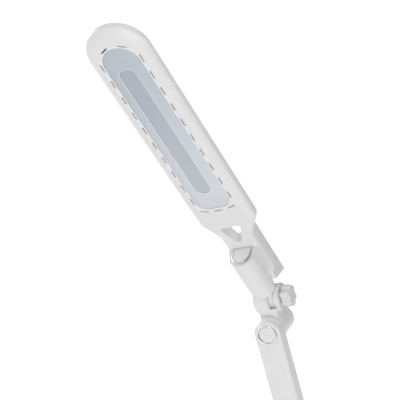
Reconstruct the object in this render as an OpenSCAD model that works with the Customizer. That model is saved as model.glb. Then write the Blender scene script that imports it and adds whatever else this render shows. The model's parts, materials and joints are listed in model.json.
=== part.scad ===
// Folding LED desk lamp: a long flat light head on a swinging arm and a round weighted base.
// Millimetres, +Z up. The origin is the middle of the underside of the base.
// The lamp stands in the pose of the reference view: arm leaning to the left, head tipped forward.

/* [Base] */
// Diameter of the base
base_d = 184; // [176:2:220]
// Height of the base top above the table
base_h = 23; // [22:0.5:30]
// Radius of the rounded rim of the base
base_edge_r = 8; // [3:0.5:10]
// Wall thickness of the base shell
base_wall = 2.5; // [2:0.1:3]
// Thickness of the rubber pad under the base
pad_t = 1.5; // [1:0.1:3]
// Thickness of the steel plate that closes the base
plate_t = 2; // [1.5:0.1:3]
// Space between the steel weight and the screw bosses round it
weight_gap = 6; // [1:0.5:12]
// Thickness of the steel weight
weight_t = 12; // [8:0.5:13]
// Number of screws that hold the base plate
base_screw_count = 4; // [3:1:6]
// Diameter of the power button
button_d = 14; // [10:0.5:20]
// Distance from the rim of the base in to the middle of the power button
button_in = 36; // [34:1:42]
// Height of the power button above the base
button_rise = 1.2; // [1.1:0.1:3]
// Travel of the power button
button_travel = 0.8; // [0.4:0.1:1]
// Outer diameter of the cable gland
gland_d = 9; // [8:0.5:10]
// Bore of the cable gland
gland_bore = 5; // [3:0.5:5.5]

/* [Post] */
// Distance from the middle of the base back to the swivel of the post
post_back = 24; // [10:1:30]
// Height of the lower arm pivot above the table
pivot_h = 64; // [56:1:90]
// Depth of the post, front to back
post_depth = 24; // [20:1:28]
// Diameter of the collar where the post meets the base
collar_d = 42; // [38:1:50]
// Height of the collar
collar_h = 6; // [4:0.5:10]
// Diameter of the swivel spigot
spigot_d = 24; // [20:1:26]

/* [Arm] */
// Distance between the two pivots of the arm
arm_len = 350; // [200:5:450]
// Width of the arm
arm_w = 28; // [28:0.5:34]
// Thickness of the arm
arm_t = 16.4; // [15:0.2:20]
// Wall thickness of the two arm shells
arm_wall = 2.2; // [1.6:0.1:3]
// Width of the bevel round the outer faces of the arm
arm_bevel = 1.2; // [0.5:0.1:2]
// Distance between the stiffening ribs inside the arm
rib_pitch = 40; // [25:1:60]
// Outer diameter of the chrome ring on each pivot
ring_d = 22; // [21:0.2:24]
// Diameter of the white cap inside the chrome ring
cap_d = 18; // [17:0.2:18.6]
// Diameter of the pivot bolts
pivot_bolt_d = 8; // [6:0.5:9]
// Lean of the arm to the left of upright, in degrees
arm_lean = 16.7; // [-80:0.1:80]

/* [Elbow] */
// Depth of the elbow block behind the arm
elbow_depth = 28; // [26:0.5:32]
// Height of the tilt axis above the upper arm pivot
tilt_up = 27.5; // [27:0.5:34]
// Radius of the tilt barrel
cheek_r = 14.5; // [13:0.1:14.5]
// Distance from the middle of the elbow to the plain end of the tilt barrel
barrel_left = 12.5; // [12:0.1:14]
// Distance from the middle of the elbow to the knob end of the tilt barrel
barrel_right = 15; // [14.5:0.1:17]
// Width of the thin cheek on the side of the knob
thin_cheek_w = 4.5; // [4:0.1:5.5]
// Width of the neck tongue between the cheeks
tongue_w = 7; // [6:0.5:7]
// Radius of the neck tongue
tongue_r = 10.5; // [9:0.1:12]
// Diameter of the tilt bolt
tilt_bolt_d = 6; // [5:0.5:6.5]
// Diameter of the star knob over its lobes
knob_d = 24; // [20:0.5:24]
// Thickness of the star knob
knob_t = 10; // [8:0.5:14]
// Number of lobes of the star knob
knob_lobes = 6; // [5:1:8]
// Turn of the elbow away from straight, in degrees
elbow_turn = 2; // [-90:1:90]
// Forward tilt of the head from the line of the arm, in degrees
head_tilt = 28; // [-30:0.5:90]

/* [Neck] */
// Diameter of the roll core that the head turns about
core_d = 14.8; // [14:0.2:15.6]
// Radius of the neck sleeve
sleeve_r = 13.4; // [13.2:0.1:14]
// Distance from the tilt axis to the near end of the sleeve
sleeve_near = 16.1; // [16:0.1:17]
// Distance from the tilt axis to the far end of the sleeve
sleeve_far = 68; // [62:0.5:69]
// Radius of the chrome trim round the end of the neck
trim_r = 10.3; // [10.2:0.1:12]
// Roll of the head about the neck, in degrees
head_roll = 0; // [-60:1:60]

/* [Head] */
// Half width of the head at its widest
head_half_w = 31; // [30.5:0.1:34]
// Distance from the tilt axis to the far tip of the head
head_reach = 354.5; // [320:0.1:400]
// Distance from the tilt axis to the shoulders of the head
shoulder_y = 108; // [106:1:114]
// Thickness of the head
head_t = 18; // [17:0.5:22]
// How much thinner the head is at its far end
far_thinning = 2.6; // [0:0.2:3]
// Distance from the neck axis back to the front face of the head
head_drop = 10; // [9:0.5:11]
// Wall thickness of the head mouldings
head_wall = 2.2; // [1.8:0.1:2.6]
// Half width of the flat front face
face_half_w = 23.2; // [22.4:0.1:26]
// Half width of the visible light area
light_half_w = 17.9; // [16:0.1:18.4]
// Half width of the line of slots round the light
loop_half_w = 20.1; // [20:0.1:20.6]
// Distance between neighbouring slots
slot_pitch = 19.38; // [15:0.1:24]
// Length of one slot
slot_len = 9; // [5:0.5:11]
// Width of one slot
slot_w = 1.4; // [1:0.1:1.5]
// Height of the light cover's flat top above the front face
crown_rise = 2.2; // [1.2:0.1:2.6]
// Half width of the sunken centre panel
panel_half_w = 7.8; // [6:0.2:9]
// Half width of the neck plate
neck_half_w = 18; // [17:0.5:19]

/* [Hidden] */

$fn = 72;
hull_fn = 40;
thin = 0.01;

// Clearances, all per side
slip = 0.05;
gap = 0.3;
loose = 0.5;
face_gap = 0.5;

// Base
base_r = base_d / 2;
button_out = base_r - button_in;
shell_floor = base_h - base_wall;
plate_top = pad_t + plate_t;
plate_r = base_r - base_wall - gap;
pad_inset = 4;
base_boss_r = 4;
base_boss_out = base_r - base_wall - base_boss_r - 3.5;
weight_r = base_boss_out - base_boss_r - weight_gap;
base_screw_r = 1.5;
base_screw_head_r = 3;
base_screw_head_h = 1.4;
base_screw_len = 9;
weight_hole_r = collar_d / 2;
board_w = 36;
board_l = 30;
board_t = 1.6;
board_top = shell_floor - 8;
board_post_r = 2.6;
board_post_in = 5;
board_screw_r = 1.1;
board_screw_head_r = 2;
switch_w = 6;
switch_h = 3.4;
plunger_r = 1.6;
plunger_h = 0.6;
plunger_top = board_top + switch_h + plunger_h;
button_flange_h = 1.2;
button_flange_r = button_d / 2 + 1.5;
button_stem_r = 2;
gland_z = plate_top + 6.8;
gland_flange_r = gland_d / 2 + 2;
gland_len = 15;
gland_lip = 2;

// Post and lower pivot
post_y = post_back;
post_front = post_y - post_depth / 2;
arm_r = arm_w / 2;
barrel_r = arm_r + gap;
bolt_r = pivot_bolt_d / 2;
bolt_bore_r = bolt_r + slip;
bolt_head_r = 7;
bolt_head_h = 4;
bolt_washer_t = 1;
bolt_washer_r = 8.4;
nut_r = 6.8;
nut_h = 5;
nut_cap_t = 2.4;
nut_pocket_r = nut_r + gap;
nut_pocket_h = nut_h + nut_cap_t + loose;
nut_cap_r = 9;
stem_r = 7;
stem_len = 11;
swivel_washer_r = 16;
swivel_washer_t = 1.4;
swivel_nut_r = 11;
swivel_nut_h = 5;

// Arm
arm_half_t = arm_t / 2;
ring_seat = 2.4;
ring_rise = 0.8;
cap_rise = 0.2;
bolt_hole_r = cap_d / 2 - 0.4;
ring_r = ring_d / 2;
cap_r = cap_d / 2;
end_solid = arm_r + 6;
arm_screw_r = 1.4;
arm_screw_head_r = 2.7;
arm_screw_head_h = 2;
arm_screw_xs = 5;
arm_screw_ends = 30;
arm_boss_r = 3.6;

// Elbow and tilt
tilt_back = face_gap + elbow_depth / 2;
slot_right = barrel_right - thin_cheek_w;
slot_left = slot_right - tongue_w - 2 * face_gap;
tongue_x = (slot_left + slot_right) / 2;
web_half_w = barrel_left - 2.5;
web_inset = 1.5;
relief_r = tongue_r + gap;
tilt_r = tilt_bolt_d / 2;
tilt_bore_r = tilt_r + slip;
tilt_head_r = 5.2;
tilt_head_h = 4;
tilt_washer_t = 1;
tilt_washer_r = 8;
knob_lobe_r = 3.7;
knob_edge = 1.2;
knob_tip_wall = 2.5;

// Neck and roll
core_r = core_d / 2;
core_bore_r = core_r + slip;
core_end = sleeve_far - 6.2;
flange_y = cheek_r + 0.4;
roll_washer_r = 8.2;
roll_washer_t = 1.2;
roll_screw_r = 2.5;
roll_screw_head_r = 4;
roll_screw_head_h = 2.6;
roll_screw_len = 16;
roll_pocket_r = roll_washer_r + gap;
trim_t = 2.2;
trim_w = 1.6;
end_cap_t = 1.7;
boss_near = sleeve_near + 17;

// Head, measured in the head frame: x across, y from the tilt axis to the far tip, z to the light side
face_z = -head_drop;
back_z = face_z - head_t;
far_back_z = back_z + far_thinning;
seam_z = face_z - 7;
far_y = head_reach - head_half_w;
neck_start = 84;
neck_near_half_w = neck_half_w - 1.5;
lip_t = 0.8;
light_depth = 2.4;
diffuser_half_w = light_half_w + 0.7;
pocket_half_w = diffuser_half_w + 0.15;
light_far_y = far_y - 7.4;
light_near_y = 127;
light_corner_r = 12;
panel_far_y = light_far_y - 12.1;
panel_near_y = 160.8;
panel_depth = 1;
panel_t = 0.3;
panel_gap = 0.15;
crown_half_w = light_half_w - gap;
crown_top = face_z + crown_rise;
crown_rim = 2.7;
crown_edge = 0.1;
edge_drop = 0.3;
tray_half_w = diffuser_half_w;
tray_wall = 1.2;
tray_front = face_z - lip_t - light_depth;
tray_back = face_z - 11;
led_board_half_w = 11;
led_board_t = 1.6;
led_board_far = panel_far_y;
led_board_near = 146;
led_w = 3.5;
led_h = 0.8;
led_rows = 2;
led_row_gap = 12;
led_pitch = 13;
side_slots = 10;
end_slot_turn = 26.5;
near_slot_x = 14.4;
near_slot_turn = 18;
near_slot_drop = 1.6;
first_slot_y = light_far_y + 1.5;
cavity_near = 112;
shoulder_r = 8;
window_far_y = 100.5;
window_near_y = 79;
window_corner_r = 2;
window_far_half_w = 10.6;
window_near_half_w = 4;
window_flare = 6.5;
screw_x = 23.4;
screw_ys = [shoulder_y + 24, (shoulder_y + far_y) / 2 + 8, far_y - 10];
screw_r = 1.25;
screw_hole_r = screw_r + 0.15;
screw_head_r = 2.3;
screw_head_h = 1.8;
screw_boss_r = 3.4;
screw_seat_z = seam_z - 3.2;
tail_screw_y = 44;
tail_front_z = -4.3;
tail_front_y = 23.5;
tail_back_y = 12;
tail_corner_r = 1.5;
tray_ribs = 4;
tray_rib_gap = 0.1;
rib_t = 1.6;

// Frames

module at_post() {
    translate([0, post_y, 0])
        children();
}

// Arm frame: x across, y along the arm from the lower pivot, z to the front, z = 0 at its back face
module at_arm() {
    translate([0, post_front - face_gap, pivot_h])
        rotate([90, 0, 0])
            rotate([0, 0, arm_lean])
                children();
}

module at_elbow() {
    at_arm()
        translate([0, arm_len, 0])
            rotate([0, 0, elbow_turn])
                children();
}

module at_neck() {
    at_elbow()
        translate([0, tilt_up, -tilt_back])
            rotate([head_tilt, 0, 0])
                children();
}

module at_head() {
    at_neck()
        rotate([0, head_roll, 0])
            children();
}

// Shared shapes

// Cylinder along x from x0 to x1
module rod_x(r, x0, x1) {
    translate([x0, 0, 0])
        rotate([0, 90, 0])
            cylinder(r = r, h = x1 - x0);
}

// Cylinder along y from y0 to y1
module rod_y(r, y0, y1) {
    translate([0, y1, 0])
        rotate([90, 0, 0])
            cylinder(r = r, h = y1 - y0);
}

module washer(inner_r, outer_r, t) {
    difference() {
        cylinder(r = outer_r, h = t);
        translate([0, 0, -1])
            cylinder(r = inner_r, h = t + 2);
    }
}

module hex_nut(r, bore_r, h) {
    difference() {
        cylinder(r = r, h = h, $fn = 6);
        translate([0, 0, -1])
            cylinder(r = bore_r, h = h + 2);
    }
}

// Screw pointing down its own -z, with the underside of its head at z = 0
module small_screw(r, length, head_r, head_h, drive_w) {
    difference() {
        union() {
            translate([0, 0, -length])
                cylinder(r = r, h = length + thin);
            cylinder(r = head_r, h = head_h);
        }
        for (turn = [0, 90])
            rotate([0, 0, turn])
                translate([-drive_w * 1.6, -drive_w / 2, head_h * 0.45])
                    cube([drive_w * 3.2, drive_w, head_h]);
    }
}

// Long outline with a round far end and a squarer near end
module light_outline(half_w, near_y, corner_r) {
    translate([0, light_far_y])
        circle(r = half_w);
    translate([-half_w, near_y + corner_r])
        square([half_w * 2, light_far_y - near_y - corner_r]);
    translate([-half_w + corner_r, near_y])
        square([(half_w - corner_r) * 2, corner_r + 1]);
    for (side = [-1, 1])
        translate([side * (half_w - corner_r), near_y + corner_r])
            circle(r = corner_r);
}

module stadium(half_w, y0, y1, facets = $fn) {
    translate([-half_w, y0])
        square([half_w * 2, y1 - y0]);
    for (y = [y0, y1])
        translate([0, y])
            circle(r = half_w, $fn = facets);
}

// Base

module base_profile(r, z0, z1, edge) {
    translate([0, z0])
        square([r, z1 - z0 - edge]);
    translate([0, z0])
        square([r - edge, z1 - z0]);
    translate([r - edge, z1 - edge])
        intersection() {
            circle(r = edge);
            square([edge, edge]);
        }
}

module at_base_screws() {
    for (i = [0 : base_screw_count - 1])
        rotate([0, 0, 45 + i * 360 / base_screw_count])
            translate([base_boss_out, 0, 0])
                children();
}

module at_board_posts() {
    for (side = [-1, 1])
        translate([side * (board_w / 2 - board_post_in), -button_out, 0])
            children();
}

module base_shell() {
    color("white")
        difference() {
            union() {
                difference() {
                    rotate_extrude($fn = 128)
                        base_profile(base_r, pad_t, base_h, base_edge_r);
                    rotate_extrude($fn = 128)
                        base_profile(base_r - base_wall, -1, shell_floor, base_edge_r - base_wall);
                }
                at_base_screws()
                    translate([0, 0, plate_top])
                        cylinder(r = base_boss_r, h = shell_floor - plate_top + thin);
                at_board_posts()
                    translate([0, 0, board_top])
                        cylinder(r = board_post_r, h = shell_floor - board_top + thin);
            }
            at_base_screws()
                translate([0, 0, plate_top - 1])
                    cylinder(r = base_screw_r, h = base_screw_len + 1);
            at_board_posts()
                translate([0, 0, board_top - 1])
                    cylinder(r = board_screw_r, h = 6);
            translate([0, -button_out, shell_floor - 1])
                cylinder(r = button_d / 2 + slip * 2, h = base_wall + 2);
            translate([0, post_y, shell_floor - 1])
                cylinder(r = spigot_d / 2 + slip, h = base_wall + 2);
            translate([0, base_r - 20, gland_z])
                rod_y(gland_d / 2, 0, 30);
        }
}

module base_weight() {
    color("dimgray")
        translate([0, 0, plate_top])
            difference() {
                cylinder(r = weight_r, h = weight_t);
                translate([0, post_y, -1])
                    cylinder(r = weight_hole_r, h = weight_t + 2);
                translate([-board_w / 2 - 3, -weight_r - 1, -1])
                    cube([board_w + 6, weight_r - button_out + board_l / 2 + 4, weight_t + 2]);
                translate([-gland_flange_r - 2, weight_r - 14, -1])
                    cube([(gland_flange_r + 2) * 2, 20, weight_t + 2]);
            }
}

module base_plate() {
    color("gray")
        translate([0, 0, pad_t])
            difference() {
                cylinder(r = plate_r, h = plate_t, $fn = 128);
                at_base_screws() {
                    translate([0, 0, -1])
                        cylinder(r = base_screw_r + 0.2, h = plate_t + 2);
                    translate([0, 0, -1])
                        cylinder(r = base_screw_head_r + 0.2, h = base_screw_head_h + 1);
                }
            }
}

module foot_pad() {
    color("darkgray")
        difference() {
            cylinder(r = plate_r - pad_inset, h = pad_t, $fn = 128);
            at_base_screws()
                translate([0, 0, -1])
                    cylinder(r = base_screw_head_r + 1, h = pad_t + 2);
        }
}

module base_screws() {
    color("silver")
        at_base_screws()
            translate([0, 0, pad_t + base_screw_head_h])
                rotate([180, 0, 0])
                    small_screw(base_screw_r, base_screw_len - 1, base_screw_head_r,
                                base_screw_head_h, 0.8);
}

module power_button() {
    color("gainsboro")
        translate([0, -button_out, 0]) {
            translate([0, 0, shell_floor - slip - button_flange_h])
                cylinder(r = button_flange_r, h = button_flange_h);
            translate([0, 0, shell_floor - slip - thin])
                cylinder(r = button_d / 2, h = base_wall + button_rise);
            translate([0, 0, plunger_top + button_travel + 0.1])
                cylinder(r = button_stem_r,
                         h = shell_floor - button_flange_h - plunger_top - button_travel);
        }
}

module control_board() {
    color("seagreen") {
        difference() {
            translate([-board_w / 2, -button_out - board_l / 2, board_top - board_t])
                cube([board_w, board_l, board_t]);
            at_board_posts()
                translate([0, 0, board_top - board_t - 1])
                    cylinder(r = board_screw_r + 0.1, h = board_t + 2);
        }
        translate([-switch_w / 2, -button_out - switch_w / 2, board_top - thin])
            cube([switch_w, switch_w, switch_h + thin]);
        translate([0, -button_out, board_top + switch_h - thin])
            cylinder(r = plunger_r, h = plunger_h + thin);
        translate([-board_w / 2 + 3, -button_out + 7, board_top - thin])
            cube([8, 5, 4]);
        translate([board_w / 2 - 9, -button_out - 12, board_top - thin])
            cube([6, 6, 2]);
    }
}

module board_screws() {
    color("silver")
        at_board_posts()
            translate([0, 0, board_top - board_t])
                rotate([180, 0, 0])
                    small_screw(board_screw_r - slip, 4.5, board_screw_head_r, 1.4, 0.5);
}

module cable_gland() {
    color("lightgray")
        translate([0, 0, gland_z])
            difference() {
                union() {
                    rod_y(gland_d / 2 - slip, base_r - gland_len, base_r + gland_lip);
                    rod_y(gland_flange_r, base_r - gland_len, base_r - base_wall - 3);
                    rod_y(gland_flange_r - 1, base_r + slip, base_r + gland_lip);
                }
                rod_y(gland_bore / 2, base_r - gland_len - 1, base_r + gland_lip + 1);
            }
}

// Post

module post_housing() {
    color("white")
        at_post()
            difference() {
                union() {
                    translate([0, 0, pivot_h])
                        rod_y(barrel_r, -post_depth / 2, post_depth / 2);
                    translate([-barrel_r, -post_depth / 2, base_h + collar_h / 2])
                        cube([barrel_r * 2, post_depth, pivot_h - base_h - collar_h / 2]);
                    translate([0, 0, base_h + slip])
                        rotate_extrude()
                            base_profile(collar_d / 2, 0, collar_h, 2);
                    translate([0, 0, shell_floor - slip])
                        cylinder(r = spigot_d / 2, h = base_wall + 1);
                    translate([0, 0, shell_floor - stem_len])
                        cylinder(r = stem_r, h = stem_len + 1);
                }
                translate([0, 0, shell_floor - stem_len - 1])
                    cylinder(r = stem_r - 2.5, h = stem_len + collar_h + 10);
                translate([0, 0, pivot_h])
                    rod_y(bolt_bore_r, -post_depth / 2 - 1, post_depth / 2 + 1);
                translate([0, 0, pivot_h])
                    rod_y(nut_pocket_r, post_depth / 2 - nut_pocket_h, post_depth / 2 + 1);
                translate([0, 0, pivot_h])
                    rod_y(nut_cap_r, post_depth / 2 - nut_cap_t, post_depth / 2 + 1);
            }
}

module swivel_washer() {
    color("silver")
        at_post()
            translate([0, 0, shell_floor - slip - swivel_washer_t])
                washer(stem_r + slip, swivel_washer_r, swivel_washer_t);
}

module swivel_nut() {
    color("silver")
        at_post()
            translate([0, 0, shell_floor - slip - swivel_washer_t - swivel_nut_h])
                hex_nut(swivel_nut_r, stem_r + slip, swivel_nut_h);
}

// Pivots shared by the post and the elbow: depth is the depth of the block behind the arm

module pivot_bolt(depth) {
    head_z = arm_half_t + bolt_washer_t;
    difference() {
        union() {
            translate([0, 0, -face_gap - depth + nut_cap_t + loose / 2])
                cylinder(r = bolt_r, h = depth + face_gap + head_z - nut_cap_t - loose / 2 + thin);
            translate([0, 0, head_z])
                cylinder(r = bolt_head_r, h = bolt_head_h);
        }
        translate([0, 0, head_z + bolt_head_h / 2])
            cylinder(r = bolt_r * 0.7, h = bolt_head_h, $fn = 6);
    }
}

module pivot_nut(depth) {
    translate([0, 0, -face_gap - depth + nut_cap_t + loose])
        hex_nut(nut_r, bolt_bore_r, nut_h);
}

module pivot_friction_washer() {
    translate([0, 0, -face_gap])
        washer(bolt_bore_r + slip, arm_r - 2, face_gap);
}

module pivot_nut_cap(depth) {
    translate([0, 0, -face_gap - depth])
        cylinder(r = nut_cap_r - slip, h = nut_cap_t);
}

module pivot_bolt_washer() {
    translate([0, 0, arm_half_t])
        washer(bolt_bore_r + slip, bolt_washer_r, bolt_washer_t);
}

// Chrome ring round a pivot cap, half round in front
module pivot_ring() {
    half = (ring_r - cap_r) / 2;
    translate([0, 0, arm_t - ring_seat])
        rotate_extrude() {
            translate([cap_r, 0])
                square([ring_r - cap_r - slip, ring_seat + ring_rise - half]);
            translate([cap_r + half - slip / 2, ring_seat + ring_rise - half])
                circle(r = half - slip / 2);
        }
}

module pivot_cap() {
    translate([0, 0, arm_t - ring_seat])
        rotate_extrude() {
            square([cap_r - slip, ring_seat + cap_rise - 0.6]);
            square([cap_r - 0.6, ring_seat + cap_rise]);
        }
}

module lower_pivot_bolt() {
    color("silver")
        at_arm()
            pivot_bolt(post_depth);
}

module lower_pivot_nut() {
    color("silver")
        at_post()
            translate([0, -post_depth / 2 - face_gap, pivot_h])
                rotate([90, 0, 0])
                    pivot_nut(post_depth);
}

module lower_friction_washer() {
    color("gray")
        at_arm()
            pivot_friction_washer();
}

module post_nut_cap() {
    color("white")
        at_arm()
            pivot_nut_cap(post_depth);
}

module lower_bolt_washer() {
    color("silver")
        at_arm()
            pivot_bolt_washer();
}

module upper_bolt_washer() {
    color("silver")
        at_arm()
            translate([0, arm_len, 0])
                pivot_bolt_washer();
}

// Arm

// Half of the arm from z = 0 at its outer face inward
module arm_half_body() {
    hull() {
        linear_extrude(thin)
            stadium(arm_r - arm_bevel, 0, arm_len, $fn = 64);
        translate([0, 0, arm_bevel])
            linear_extrude(thin)
                stadium(arm_r, 0, arm_len, $fn = 64);
    }
    translate([0, 0, arm_bevel])
        linear_extrude(arm_half_t - arm_bevel)
            stadium(arm_r, 0, arm_len);
}

// The two rows of screws near the ends of the arm
module at_arm_screws() {
    for (y = [arm_screw_ends, arm_len - arm_screw_ends], x = [-arm_screw_xs, arm_screw_xs])
        translate([x, y, 0])
            children();
}

module arm_hollow() {
    inner = arm_r - arm_wall;
    room = arm_len - 2 * end_solid;
    rib_count = floor(room / rib_pitch);
    difference() {
        translate([-inner, end_solid, arm_wall])
            cube([inner * 2, room, arm_half_t]);
        at_arm_screws()
            cylinder(r = arm_boss_r, h = arm_half_t);
        for (i = [1 : rib_count])
            translate([-inner - 1, end_solid + i * room / (rib_count + 1) - rib_t / 2, 0])
                cube([inner * 2 + 2, rib_t, arm_half_t - 2.5]);
    }
}

module arm_back_shell() {
    color("white")
        at_arm()
            difference() {
                arm_half_body();
                arm_hollow();
                for (y = [0, arm_len])
                    translate([0, y, -1])
                        cylinder(r = bolt_bore_r, h = arm_t);
                at_arm_screws() {
                    translate([0, 0, -1])
                        cylinder(r = arm_screw_r + 0.15, h = arm_t);
                    translate([0, 0, -1])
                        cylinder(r = arm_screw_head_r + 0.2, h = arm_screw_head_h + 2);
                }
            }
}

module arm_front_shell() {
    color("white")
        at_arm()
            difference() {
                translate([0, 0, arm_t])
                    mirror([0, 0, 1])
                        difference() {
                            arm_half_body();
                            arm_hollow();
                        }
                for (y = [0, arm_len])
                    translate([0, y, 0]) {
                        cylinder(r = bolt_hole_r, h = arm_t + 1);
                        translate([0, 0, arm_t - ring_seat])
                            cylinder(r = ring_r, h = ring_seat + 1);
                    }
                at_arm_screws()
                    translate([0, 0, arm_half_t - 1])
                        cylinder(r = arm_screw_r, h = 6);
            }
}

module arm_screws() {
    color("silver")
        at_arm()
            at_arm_screws()
                translate([0, 0, arm_screw_head_h + 1])
                    rotate([180, 0, 0])
                        small_screw(arm_screw_r - slip, arm_half_t + 1, arm_screw_head_r,
                                    arm_screw_head_h, 0.7);
}

module lower_ring() {
    color("silver")
        at_arm()
            pivot_ring();
}

module lower_cap() {
    color("white")
        at_arm()
            pivot_cap();
}

module upper_ring() {
    color("silver")
        at_arm()
            translate([0, arm_len, 0])
                pivot_ring();
}

module upper_cap() {
    color("white")
        at_arm()
            translate([0, arm_len, 0])
                pivot_cap();
}

// Elbow

module at_tilt_axis() {
    at_elbow()
        translate([0, tilt_up, -tilt_back])
            children();
}

// Barrel of the arm pivot and barrel of the tilt hinge, joined by a narrower web
module elbow_body() {
    translate([0, 0, -face_gap - elbow_depth])
        cylinder(r = barrel_r, h = elbow_depth);
    translate([-web_half_w, 2, -tilt_back - cheek_r + web_inset])
        cube([web_half_w * 2, tilt_up - 2, (cheek_r - web_inset) * 2]);
    translate([0, tilt_up, -tilt_back])
        rod_x(cheek_r, -barrel_left, barrel_right);
}

module elbow_block() {
    slot_w = slot_right - slot_left;
    color("white")
        at_elbow()
            difference() {
                elbow_body();
                translate([slot_left, tilt_up, -tilt_back - cheek_r - 1])
                    cube([slot_w, cheek_r + 2, cheek_r * 2 + 2]);
                translate([slot_left, tilt_up - core_r - gap, -tilt_back])
                    cube([slot_w, core_r + 1, cheek_r + 2]);
                translate([0, tilt_up, -tilt_back]) {
                    rod_x(relief_r, slot_left, slot_right);
                    rod_x(tilt_bore_r, -barrel_left - 1, barrel_right + 1);
                    rod_x(tilt_head_r + gap, -barrel_left - 1, -barrel_left + tilt_head_h);
                }
                translate([0, 0, -elbow_depth - 2])
                    cylinder(r = bolt_bore_r, h = elbow_depth + 4);
                translate([0, 0, -face_gap - elbow_depth - 1])
                    cylinder(r = nut_pocket_r, h = nut_pocket_h + 1);
                translate([0, 0, -face_gap - elbow_depth - 1])
                    cylinder(r = nut_cap_r, h = nut_cap_t + 1);
            }
}

module upper_pivot_bolt() {
    color("silver")
        at_elbow()
            pivot_bolt(elbow_depth);
}

module upper_pivot_nut() {
    color("silver")
        at_elbow()
            pivot_nut(elbow_depth);
}

module upper_friction_washer() {
    color("gray")
        at_elbow()
            pivot_friction_washer();
}

module elbow_nut_cap() {
    color("white")
        at_elbow()
            pivot_nut_cap(elbow_depth);
}

module tilt_bolt() {
    color("silver")
        at_tilt_axis()
            difference() {
                union() {
                    rod_x(tilt_r, -barrel_left + 1,
                          barrel_right + tilt_washer_t + knob_t - knob_tip_wall - 1);
                    rod_x(tilt_head_r, -barrel_left + 0.2, -barrel_left + tilt_head_h);
                }
                translate([-barrel_left - 1, 0, 0])
                    rotate([0, 90, 0])
                        cylinder(r = 2.6, h = 3, $fn = 6);
            }
}

module tilt_washers() {
    color("gray")
        at_tilt_axis() {
            for (x0 = [slot_left, slot_right - face_gap])
                translate([x0, 0, 0])
                    rotate([0, 90, 0])
                        washer(tilt_bore_r + slip, tongue_r - 2, face_gap);
            translate([barrel_right, 0, 0])
                rotate([0, 90, 0])
                    washer(tilt_bore_r + slip, tilt_washer_r, tilt_washer_t);
        }
}

// Star knob: a round core with lobes, bevelled at both faces, and a threaded blind hole
module tilt_knob() {
    start = barrel_right + tilt_washer_t + slip;
    color("white")
        at_tilt_axis()
            difference() {
                translate([start, 0, 0])
                    rotate([0, 90, 0]) {
                        linear_extrude(knob_t)
                            knob_outline(knob_edge);
                        translate([0, 0, knob_edge])
                            linear_extrude(knob_t - 2 * knob_edge)
                                knob_outline(0);
                    }
                rod_x(tilt_bore_r, start - 1, start + knob_t - knob_tip_wall);
            }
}

module knob_outline(shrink) {
    circle(r = knob_d / 2 - knob_lobe_r * 0.6 - shrink);
    for (i = [0 : knob_lobes - 1])
        rotate([0, 0, 90 + i * 360 / knob_lobes])
            translate([knob_d / 2 - knob_lobe_r, 0])
                circle(r = knob_lobe_r - shrink);
}

// Neck

module neck_knuckle() {
    color("white")
        at_neck()
            difference() {
                union() {
                    rod_x(tongue_r, tongue_x - tongue_w / 2, tongue_x + tongue_w / 2);
                    rod_y(core_r, flange_y, core_end);
                    rod_y(sleeve_r - 0.5, flange_y, sleeve_near - slip);
                    translate([tongue_x - tongue_w / 2, 0, -core_r])
                        cube([tongue_w, flange_y + 0.2, core_r * 2]);
                }
                rod_x(tilt_bore_r, tongue_x - tongue_w, tongue_x + tongue_w);
                rod_y(roll_screw_r, core_end - roll_screw_len, core_end + 1);
            }
}

module roll_washer() {
    color("silver")
        at_neck()
            translate([0, core_end + roll_washer_t, 0])
                rotate([90, 0, 0])
                    washer(roll_screw_r + slip, roll_washer_r, roll_washer_t);
}

module roll_screw() {
    color("silver")
        at_neck()
            translate([0, core_end + roll_washer_t, 0])
                rotate([-90, 0, 0])
                    small_screw(roll_screw_r - slip, roll_screw_len - 1, roll_screw_head_r,
                                roll_screw_head_h, 0.9);
}

// Head

// One level of the head body: half width w at height z, running in to the neck at near_y
module head_level(w, z, far_z, shoulder, near_half_w, near_y) {
    translate([0, far_y, far_z])
        cylinder(r = w, h = thin, $fn = hull_fn * 2);
    translate([0, 0, z])
        linear_extrude(thin)
            for (side = [-1, 1]) {
                translate([side * (w - shoulder_r), shoulder])
                    circle(r = shoulder_r, $fn = hull_fn);
                translate([side * near_half_w - 0.5, near_y])
                    square([1, 1]);
            }
}

// Levels of the head from the front face to the back, as [height, half width, height at the far end]
function head_levels() = [
    [face_z - thin, face_half_w, face_z - thin],
    [face_z - 1.6, (head_half_w + face_half_w) / 2, face_z - 1.6],
    [face_z - 4, head_half_w - 0.8, face_z - 4],
    [seam_z, head_half_w, seam_z],
    [back_z + 7, head_half_w - 0.4, far_back_z + 6],
    [back_z + 3, head_half_w - 2.5, far_back_z + 2.8],
    [back_z + 0.8, head_half_w - 6, far_back_z + 0.8],
    [back_z, head_half_w - 9, far_back_z]
];

// Smooth outer body of the head with rounded sides, drawn in to the neck
module head_body() {
    hull()
        for (level = head_levels())
            head_level(level[1], level[0], level[2], shoulder_y,
                       neck_near_half_w - (head_half_w - level[1]) * 0.5, neck_start);
}

// Hollow inside the head
module head_cavity() {
    hull()
        for (level = head_levels())
            head_level(level[1] - head_wall, max(level[0], back_z + head_wall),
                       max(level[2], far_back_z + head_wall), shoulder_y + head_wall + 4,
                       neck_half_w, cavity_near);
}

// Flat slice through the whole head
module slab(z0, z1) {
    translate([-head_half_w * 2, 0, z0])
        cube([head_half_w * 4, head_reach * 1.2, z1 - z0]);
}

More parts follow.
